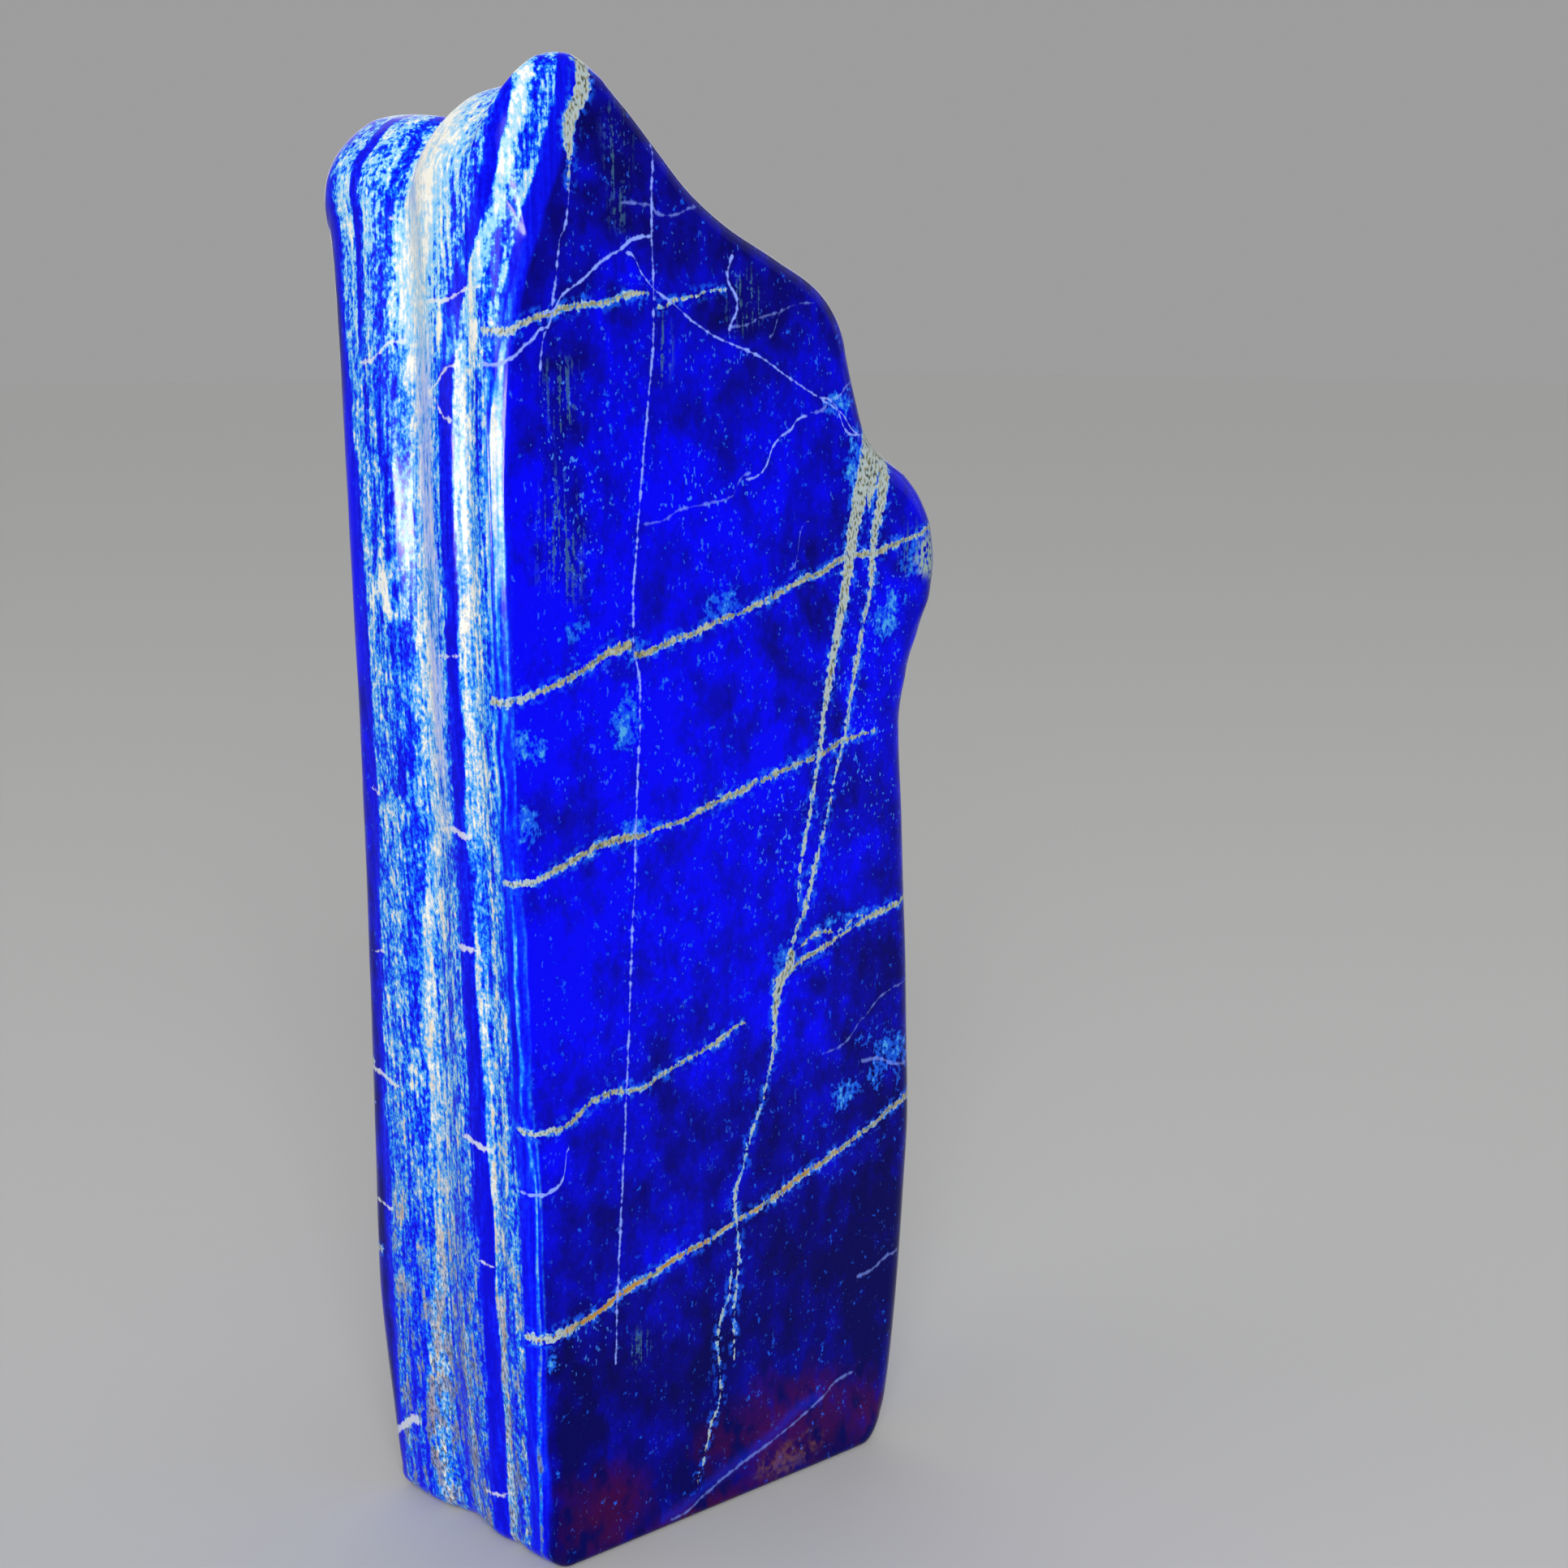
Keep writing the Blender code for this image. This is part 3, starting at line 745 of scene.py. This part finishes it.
# Hairlines, clear ones and faint ones: half width, and height by x, or x by height for the upright ones
CLEAR_HAIRS = [
    (.20, [(-39, 211), (-36, 213.5), (-32, 216), (-28, 219), (-24, 221), (-21, 222.8), (-18, 223.2)]),
    (.30, [(-50, 203), (-46, 204), (-43, 206), (-41, 207.3), (-38.5, 208.8)]),
    (
        .13,
        [
            (-23, 220.5), (-20, 217.5), (-17.5, 215), (-13, 212.3), (-9, 209.7), (-4, 207.2), (4, 204.6),
            (12, 200.5), (20, 196.5), (24, 194.5), (30, 190.4),
        ],
    ),
    (.22, [(19, 197), (24, 193.5), (28, 190.5)]),
    (.18, [(2, 183.8), (8, 189), (10, 190.8), (12, 191.5), (16, 194)]),
    (.22, [(-48, 70), (-46, 69), (-43, 68.3), (-40, 68.8), (-38, 70.8), (-37.2, 75)]),
]
FAINT_HAIRS = [
    (.24, [(17, 194.6), (21, 196), (24, 197.5), (29, 199.6)]),
    (.16, [(-20, 177.5), (-12, 179.5), (-6, 180.2), (-1, 181.2), (3, 184.8)]),
    (.14, [(20, 80), (30, 84.5), (44, 89.6)]),
    (.08, [(-1, 209), (5, 210.5), (10, 211.5), (18, 213)]),
    (.14, [(12, 168), (14, 172), (16.4, 176)]),
    (.20, [(7.6, 207.4), (10.6, 211.8)]),
    (.24, [(-16, 1.5), (-8, 4), (-2, 6.2), (8, 9.2), (12, 10.4), (20, 13.5), (28, 16.4)]),
    (.20, [(-24, 228.2), (-18, 228), (-15, 226.5), (-8, 228)]),
    (.35, [(30, 76.5), (36, 75.4), (42, 73.8)]),
    (.26, [(29, 35), (34, 35.6), (40, 37)]),
]
UPRIGHT_HAIRS = [
    (
        .12,
        [
            (34, -28), (50, -27.3), (66, -26), (82, -25), (104, -23.8), (120, -22.7), (135, -22), (150, -21.2),
            (160, -22.5), (175, -21.5), (196, -19), (215, -17.5), (228, -17.8), (238, -17.2),
        ],
    ),
    (.20, [(208, -1.6), (213, .3), (217, -1.6), (221, -.6)]),
    (.10, [(200, -40.2), (210, -38), (222, -36), (231, -34)]),
]
HAIR_CLIMB = 0.12

# A soft blue glow along the low streak near the foot
GLOW_ROUTE = [(-18, 2.5), (-8, 5.4), (-2, 7.2), (8, 10.2), (20, 14)]
GLOW_WIDTH = 1.6

# Clouds on the broad face: middle and reach in millimetres
AZURE_CLOUDS = [
    ((-44, -25, 143), (7, 14, 5)), ((-45.5, -25, 131), (3.5, 12, 4.5)), ((-4, -25, 164), (4, 8, 4.5)),
    ((-24, -25, 145), (3.5, 10, 6)), ((-22.5, -25, 157), (3.5, 8, 3.5)), ((36, -24, 78), (8, 14, 7.5)),
    ((25, -24, 71), (6, 12, 4)), ((36, -24, 158), (5.5, 12, 7)), ((-34, -25, 161), (4, 8, 3)),
    ((-23, -25, 127), (4.5, 8, 3)), ((11, -25, 99), (4, 10, 4)), ((30, -24, 104), (11, 10, 3)),
    ((24, -24, 196), (4, 8, 3)), ((31, -24, 182), (7, 12, 12)),
    ((-45, -25, 38), (4, 8, 4)), ((43, -22, 169), (4.5, 20, 6)),
]
GREEN_CLOUDS = [
    ((43, -22, 169), (6, 20, 7)), ((-37, -25, 176), (6, 10, 13)), ((-36, -25, 198), (4, 10, 8)),
    ((-24.5, -25, 235), (3.5, 10, 12)), ((-16, -25, 205), (3, 10, 6)), ((2, -25, 214), (5, 10, 6)),
    ((-23, -25, 36), (3, 8, 4)),
]
MAGENTA_CLOUDS = [
    ((-30, -24, 8), (13, 18, 10)), ((12, -24, 12), (26, 20, 11)), ((34, -20, 5), (12, 20, 9)),
    ((-4, -24, 0), (30, 20, 5)),
]
PALE_CLOUDS = [((45.5, -24.5, 168.5), (3.6, 8, 4.6))]
GOLD_CLOUDS = [((11, -24, 4), (8, 12, 4.5)), ((17, -24, 6), (4, 12, 3))]
DUST_CLOUDS = [
    ((-35, -25, 186), (8, 20, 26)), ((31, -22, 150), (13, 24, 44)), ((-6, -25, 182), (12, 16, 7)),
    ((12, -25, 122), (12, 16, 14)), ((-34, -25, 40), (10, 16, 8)),
]
NAVY_CLOUDS = [
    ((-26, -25, 236), (8, 7, 22)), ((18, -24, 150), (12, 20, 20)), ((30, -24, 92), (16, 20, 14)),
    ((-36, -24, 26), (9, 18, 14)), ((6, -25, 214), (14, 7, 9)), ((38, -20, 30), (14, 20, 30)),
    ((-37, -24, 180), (6, 16, 24)),
]

# Paler clouds in the layers of the fluted side
SIDE_CLOUDS = [
    ((-47, -13.5, 207), (9, 4, 6)), ((-47, -18.5, 219), (9, 2.6, 4)), ((-47, -20.5, 205), (9, 2.4, 7)),
    ((-46, -12.5, 168), (9, 2.2, 7)), ((-47, 3, 168), (9, 5.5, 10)), ((-45, 5, 82), (9, 2.6, 7)),
]

# White ticks that cross parts of the fluted side: half width, and height by depth
SIDE_TICKS = [
    (.6, [(-15, 127.6), (-12, 128), (-9.5, 128.4)]), (.3, [(9, 131.4), (12, 132)]),
    (.5, [(-15, 108.3), (-10, 108.4)]), (.3, [(12, 103.6), (16, 103)]),
    (.5, [(-15.5, 74), (-12, 74.6), (-8, 75.2)]), (.45, [(10, 79.6), (14, 80.4), (19, 81)]),
    (.3, [(14, 55.8), (17, 56.2), (21, 56.4)]), (.25, [(-15, 53.2), (-10, 53.6)]),
    (.3, [(-15.5, 157.4), (-10, 156.8)]), (.45, [(-15, 11.4), (-12, 10), (-8, 9.8)]),
    (.9, [(11, 16.4), (14, 15), (18, 12.6), (24, 10)]),
    (.4, [(-22, 215), (-14, 213), (-9, 212.6)]), (.3, [(-16, 203), (-9, 199)]), (.3, [(-15, 194.6), (-9, 199)]),
    (.35, [(-1, 207), (4, 204.6), (9, 203.4)]), (.3, [(-4, 224), (2, 226)]), (.25, [(-2, 170.4), (3, 168), (8, 166)]),
]


def band_place(height, depth):
    """A band's place among the layers at a height, worked out from the four marker surfaces as numbers."""
    cream, deep, pale, blue = (
        float(smooth_through(marker)(np.array(float(height))))
        for marker in (CREAM_MIDDLE, DEEP_BLUE_BACK, PALE_LINE, BACK_BLUE)
    )
    if depth >= cream:
        return 1 + (depth - cream) / (blue - cream)
    if depth >= deep:
        return (depth - deep) / (cream - deep)
    if depth >= pale:
        return (depth - deep) / (deep - pale)
    return -1 + (depth - pale) / FRONT_LAYER_SCALE


def layer_place(depth, height):
    """A point's place among the layers: 0 at the deep blue's back, 1 at the cream, 2 at the back blue, -1 before."""
    cream, deep, pale, blue = (height.curve(marker) for marker in (CREAM_MIDDLE, DEEP_BLUE_BACK, PALE_LINE, BACK_BLUE))
    place = limited((depth - deep) / (cream - deep))
    place = place + combine("MAXIMUM", (depth - cream) / (blue - cream), 0.0)
    place = place - limited((deep - depth) / (deep - pale))
    return place - combine("MAXIMUM", (pale - depth) / FRONT_LAYER_SCALE, 0.0)


def blend(first, second, share):
    """Goes from the first number to the second by a share of 0 to 1."""
    return first + (second - first) * share


def banding(layer, z):
    """Whiteness of the layers, faded from one height's bands to the next."""
    across = Scale(layer, -2.0, 3.0)
    white, below = None, None
    for height, bands in BANDS.items():
        here = across.curve(sorted((band_place(height, depth), whiteness) for depth, whiteness in bands))
        white = here if white is None else blend(white, here, rise(z, below, height))
        below = height
    return white


def seam(along, over, route, width):
    """How far a point is inside a vein, in millimetres: the half width less the distance from its route."""
    if isinstance(width, list):
        ends = [(width[0][0] - 1.5, -2.0), *width, (width[-1][0] + 1.5, -2.0)]
    else:
        first, last = route[0][0], route[-1][0]
        ends = [(first - 1, -2.0), (first, width), (last, width), (last + 1, -2.0)]
    return along.curve(ends) - abs(over - along.curve(route))


def widest(fields):
    """The largest of several fields."""
    result = fields[0]
    for field in fields[1:]:
        result = combine("MAXIMUM", result, field)
    return result


def stretched(place, scale):
    """The same place with its heights scaled, so that a noise read from it is drawn out upwards."""
    return vector("MULTIPLY", place, (1, 1, scale))


def stone_material():
    """The polished stone as one solid pattern, the same right through it."""
    material = bpy.data.materials.new("polished_lapis")
    material.use_nodes = True
    tree = material.node_tree
    shader = tree.nodes["Principled BSDF"]
    coordinates = tree.nodes.new("ShaderNodeTexCoord")
    place = vector("MULTIPLY", Field(coordinates.outputs["Object"]), (1000, 1000, 1000))
    x, y, z = parts(place)
    width, across, height = Scale(x, -54, 54), Scale(y, -27, 27), Scale(z, 0, 252)

    grain = noise(stretched(place, 0.7), 0.75, 2.0, 0.65)
    fleck = noise(stretched(place, 0.5), 0.42, 0.0)
    patch = noise(stretched(place, 0.42), 2.4, 2.0, 0.6)
    streak = noise(stretched(place, 0.045), 0.8, 2.0, 0.6)
    cloud = noise(place, 27, 2.0, 0.55)
    mottle = noise(stretched(place, 0.7), 5.0, 2.5, 0.62)
    wobble = parts(noise_vector(place, 9, 1.0))
    ragged = noise(place, 1.2, 1.0, 0.6)
    fray = (mottle - 0.5) * 1.6 + (wobble[2] - 0.5) * 0.9

    # The layers, which bend round the left rim towards the broad face and sway further in
    inward = x - height.curve(LEFT_RIM)
    bend = limited(inward - BEND_FROM, 0.0, BEND_REACH) * rise(y, 20.0, -18.0)
    inner = rise(inward, 22, 60)
    sway = (wobble[0] - 0.5) * (inner * 5 + 1.6) + (cloud - 0.5) * (inner * 22)
    layer = layer_place(y - bend + sway, height)
    white = banding(layer, z)
    before_pale = rise(layer, -1.04, -1.14)
    lavender = rise(layer, 0.12, 0.30) * rise(layer, 0.92, 0.66) * rise(z, 118, 150) * rise(z, 214, 200)
    open_share = (0.14 + 3.2 * white * (1.04 - white)) * (1 - 0.55 * before_pale - 0.4 * lavender)
    white = white + clouds(place, SIDE_CLOUDS, fray) * (0.36 + (patch - 0.5) * 1.4)
    white = white + ((grain - 0.5) * 1.6 + (patch - 0.5) * 1.25 + (streak - 0.5) * 0.7) * open_share
    white = white + (streak - 0.5) * 0.45
    layered = ramp(white, MINERALS)
    layered = over(layered, paint((196, 198, 250)), lavender * rise(white + (patch - 0.5) * 1.2, 0.35, 0.8) * 0.6)
    cyan = rise(z, 196, 214) * rise(white, 0.50, 0.66) * rise(white, 1.0, 0.8)
    layered = over(layered, paint((156, 216, 244)), cyan * 0.5)
    warm = rise(mottle + (streak - 0.5) * 0.5, 0.48, 0.66) * rise(white, 0.70, 0.90)
    layered = over(layered, paint((214, 186, 148)), warm * (0.15 + 0.75 * rise(z, 140, 26)))
    low = rise(z, 90, 14) * rise(white, 0.34, 0.56)
    layered = over(layered, paint((112, 110, 156)), low * rise(patch, 0.46, 0.60) * 0.75)
    layered = over(layered, paint((40, 40, 84)), low * rise(fleck, 0.54, 0.64) * 0.7)

    # The blue of the broad faces, with its clouds, and painted shade that darkens it towards the foot and the right
    bright = height.curve(BLUE_AND_SHADE_BY_HEIGHT) + width.curve(BLUE_AND_SHADE_BY_WIDTH)
    bright = bright + (cloud - 0.5) * 1.6 + (mottle - 0.5) * 1.3 + (grain - 0.5) * 0.4
    blue = ramp(bright - clouds(place, NAVY_CLOUDS, fray) * 0.24, BLUES)
    magenta = clouds(place, MAGENTA_CLOUDS, fray) * rise(mottle, 0.34, 0.56)
    blue = over(blue, paint((66, 4, 50)), magenta * 0.7)
    blue = over(blue, paint((128, 84, 44)), clouds(place, GOLD_CLOUDS, fray) * rise(ragged * 0.4 + mottle * 0.6, 0.44, 0.62) * 0.45)
    pale_patch = clouds(place, PALE_CLOUDS, fray * 0.8) * rise(ragged * 0.6 + fleck * 0.4, 0.40, 0.56)
    azure = clouds(place, AZURE_CLOUDS, fray * 1.1) * 0.23 + (patch - 0.5) * 0.35 + ragged * 0.4 + grain * 0.6
    blue = over(blue, paint((20, 92, 232)), rise(azure, 0.63, 0.72) * 0.8)
    blue = over(blue, paint((84, 176, 222)), rise(azure, 0.74, 0.86) * 0.75)
    green = clouds(place, GREEN_CLOUDS, fray * 0.6) * rise(streak * 0.6 + grain * 0.4, 0.53, 0.59)
    blue = over(blue, paint((62, 100, 128)), green * 0.7)
    blue = over(blue, paint((150, 172, 150)), pale_patch * 0.9)
    dust = clouds(place, DUST_CLOUDS, fray)
    specks = rise(fleck * 0.5 + ragged * 0.5 + (mottle - 0.5) * 0.3 + dust * 0.045, 0.672, 0.71)
    blue = over(blue, paint((70, 136, 236)), specks * (0.12 + 0.2 * rise(z, 40, 120) + 0.4 * dust))
    spots = rise(grain + (mottle - 0.5) * 0.5 + dust * 0.03, 0.76, 0.82)
    blue = over(blue, paint((26, 72, 238)), spots * 0.7)
    broad = limited(rise(layer, -1.40, -1.54) + rise(layer, 2.02, 2.2))
    colour = over(layered, blue, broad)

    # Veins, which run out where the front-left edge turns onto the fluted side
    on_side = rise(inward, 4.0, 2.0) * rise(y, -23.0, -20.0) * rise(y, 18.5, 15.5)
    depth = y - FRONT
    wave = (wobble[1] - 0.5) * 2.2
    rough = (ragged - 0.5) * 1.8 + (grain - 0.5) * 1.2
    climbing, leaning = z - depth * CROSS_CLIMB + wave, x - depth * STEEP_LEAN + wave * 0.5
    veins = [seam(width, climbing, route, half) for half, route in CROSS_VEINS]
    steep = widest([seam(height, leaning, route, half) for half, route in STEEP_VEINS])
    vein = combine("MAXIMUM", widest(veins), steep) - on_side * 4 - VEIN_THINNING
    halo = rise(vein + rough, -1.5, 0.1) * rise(ragged, 0.46, 0.60)
    colour = over(colour, paint((20, 88, 238)), halo * 0.75)
    colour = over(colour, ramp(grain, VEIN_RIM), rise(vein + rough, -0.16, 0.08))
    core = ramp(ragged * 0.6 + fleck * 0.4, VEIN_CORE)
    gold = rise(z, 84, 52) * rise(x, 52, 8)
    core = over(core, paint((176, 126, 48)), gold * rise(vein, 0.0, 0.4) * rise(patch, 0.36, 0.56) * 0.9)
    pale = combine("MAXIMUM", rise(inward, 9, 3), rise(steep, -0.6, 0.0) * 0.8)
    core = over(core, paint((168, 184, 190)), pale * rise(fleck, 0.36, 0.50))
    colour = over(colour, core, rise(vein + rough * 0.45 + (fleck - 0.5) * 1.3, 0.0, 0.30))

    climbing = z - depth * HAIR_CLIMB + wave * 0.2
    leaning = x - depth * HAIR_CLIMB + wave * 0.3
    clear = [seam(width, climbing, route, half) for half, route in CLEAR_HAIRS]
    clear += [seam(height, leaning, route, half) for half, route in UPRIGHT_HAIRS]
    faint = [seam(width, climbing, route, half) for half, route in FAINT_HAIRS]
    broken = (ragged - 0.5) * 1.1 - on_side * 4
    clear_share = rise(widest(clear) + broken, -0.16, 0.2)
    faint_share = rise(widest(faint) + broken, -0.2, 0.3) * 0.45
    glow = rise(seam(width, climbing, GLOW_ROUTE, GLOW_WIDTH) + rough, -1.0, 2.2)
    colour = over(colour, paint((14, 34, 196)), glow * 0.5)
    colour = over(colour, paint((132, 156, 250)), combine("MAXIMUM", clear_share, faint_share))

    ticks = [seam(across, z + wave * 0.6, route, half) for half, route in SIDE_TICKS]
    tick = widest(ticks) - rise(inward, 4, 7) * 4
    colour = over(colour, paint((226, 230, 226)), rise(tick + rough * 0.8, -0.1, 0.35) * 0.7)

    feed(shader.inputs["Base Color"], colour)
    feed(shader.inputs["Roughness"], limited(white) * (1 - broad) * 0.12 + 0.09)
    shader.inputs["Specular IOR Level"].default_value = 0.07
    bump = tree.nodes.new("ShaderNodeBump")
    bump.inputs["Strength"].default_value = 0.2
    bump.inputs["Distance"].default_value = 0.0001
    feed(bump.inputs["Height"], streak)
    feed(shader.inputs["Normal"], Field(bump.outputs["Normal"]))
    return material


def dress_stone():
    """Makes the polished stone in place of the plain solid."""
    stone = make_stone()
    stone.data.materials.append(stone_material())
    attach(stone, "root")
    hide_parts("lapis_stone")


def pale_floor():
    """A wide pale floor under the stone."""
    half = 9.0
    mesh = bpy.data.meshes.new("floor")
    mesh.from_pydata([(-half, -half, 0), (half, -half, 0), (half, half, 0), (-half, half, 0)], [], [(0, 1, 2, 3)])
    floor = bpy.data.objects.new("floor", mesh)
    bpy.context.scene.collection.objects.link(floor)
    material = bpy.data.materials.new("pale_floor")
    material.use_nodes = True
    shader = material.node_tree.nodes["Principled BSDF"]
    shader.inputs["Base Color"].default_value = (0.56, 0.56, 0.555, 1.0)
    shader.inputs["Roughness"].default_value = 0.8
    shader.inputs["Specular IOR Level"].default_value = 0.0
    mesh.materials.append(material)


def soft_light(name, place, aim, size, power, gloss_only=False):
    """A rectangular softbox at place, facing aim, of size width and height, in metres and watts."""
    light = bpy.data.lights.new(name, "AREA")
    light.shape = "RECTANGLE"
    light.size, light.size_y = size
    light.energy = power
    lamp = bpy.data.objects.new(name, light)
    bpy.context.scene.collection.objects.link(lamp)
    away = np.array(place) - np.array(aim)
    turn = math.atan2(away[0], -away[1])
    tilt = math.atan2(math.hypot(away[0], away[1]), away[2])
    lamp.location = place
    lamp.rotation_euler = (tilt, 0, turn)
    lamp.visible_diffuse = not gloss_only


def soft_sun(name, place, aim, spread, strength):
    """Even light from the direction of place to aim, spread over an angle in degrees."""
    light = bpy.data.lights.new(name, "SUN")
    light.angle = math.radians(spread)
    light.energy = strength
    lamp = bpy.data.objects.new(name, light)
    bpy.context.scene.collection.objects.link(lamp)
    away = np.array(place) - np.array(aim)
    turn = math.atan2(away[0], -away[1])
    lamp.rotation_euler = (math.atan2(math.hypot(away[0], away[1]), away[2]), 0, turn)


def studio():
    """Soft studio light from the left, weak fill all round, and two strips that only give the gloss streaks."""
    middle = (0.0, 0.0, 0.13)
    key_place = (-1.06, -1.34, 0.80)
    soft_light("key_softbox", key_place, middle, (0.72, 0.96), 21)
    soft_sun("even_key", key_place, middle, 40, 0.75)
    soft_sun("side_fill", (-1.0, 0.40, 0.35), middle, 50, 0.55)
    soft_sun("back_fill", (0.8, 1.2, 0.9), middle, 60, 0.6)
    soft_sun("right_fill", (1.2, -0.4, 0.8), middle, 50, 0.3)
    edge = (-0.05, -0.017, 0.18)
    soft_light("ridge_strip", (-0.797, 0.270, 0.140), edge, (0.15, 0.07), 5.0, gloss_only=True)
    soft_light("edge_strip", (-0.216, -0.800, 0.17), edge, (0.68, 0.15), 27, gloss_only=True)
    world = bpy.data.worlds.new("studio_air")
    world.use_nodes = True
    background = world.node_tree.nodes["Background"]
    background.inputs["Color"].default_value = (1.0, 1.0, 1.0, 1.0)
    background.inputs["Strength"].default_value = 0.34
    bpy.context.scene.world = world


def camera():
    """The camera where the photograph was taken from: left of the broad face, a little above the stone's middle."""
    lens = bpy.data.cameras.new("camera")
    lens.sensor_width = 36.0
    lens.lens = 55.9
    lens.clip_start = 0.01
    eye = bpy.data.objects.new("camera", lens)
    eye.location = (-0.2686, -0.3359, 0.2080)
    eye.rotation_euler = (math.radians(90 - 10.5), 0.0, math.radians(-42))
    bpy.context.scene.collection.objects.link(eye)
    bpy.context.scene.camera = eye


dress_stone()
pale_floor()
studio()
camera()
bpy.context.scene.view_settings.view_transform = "Standard"
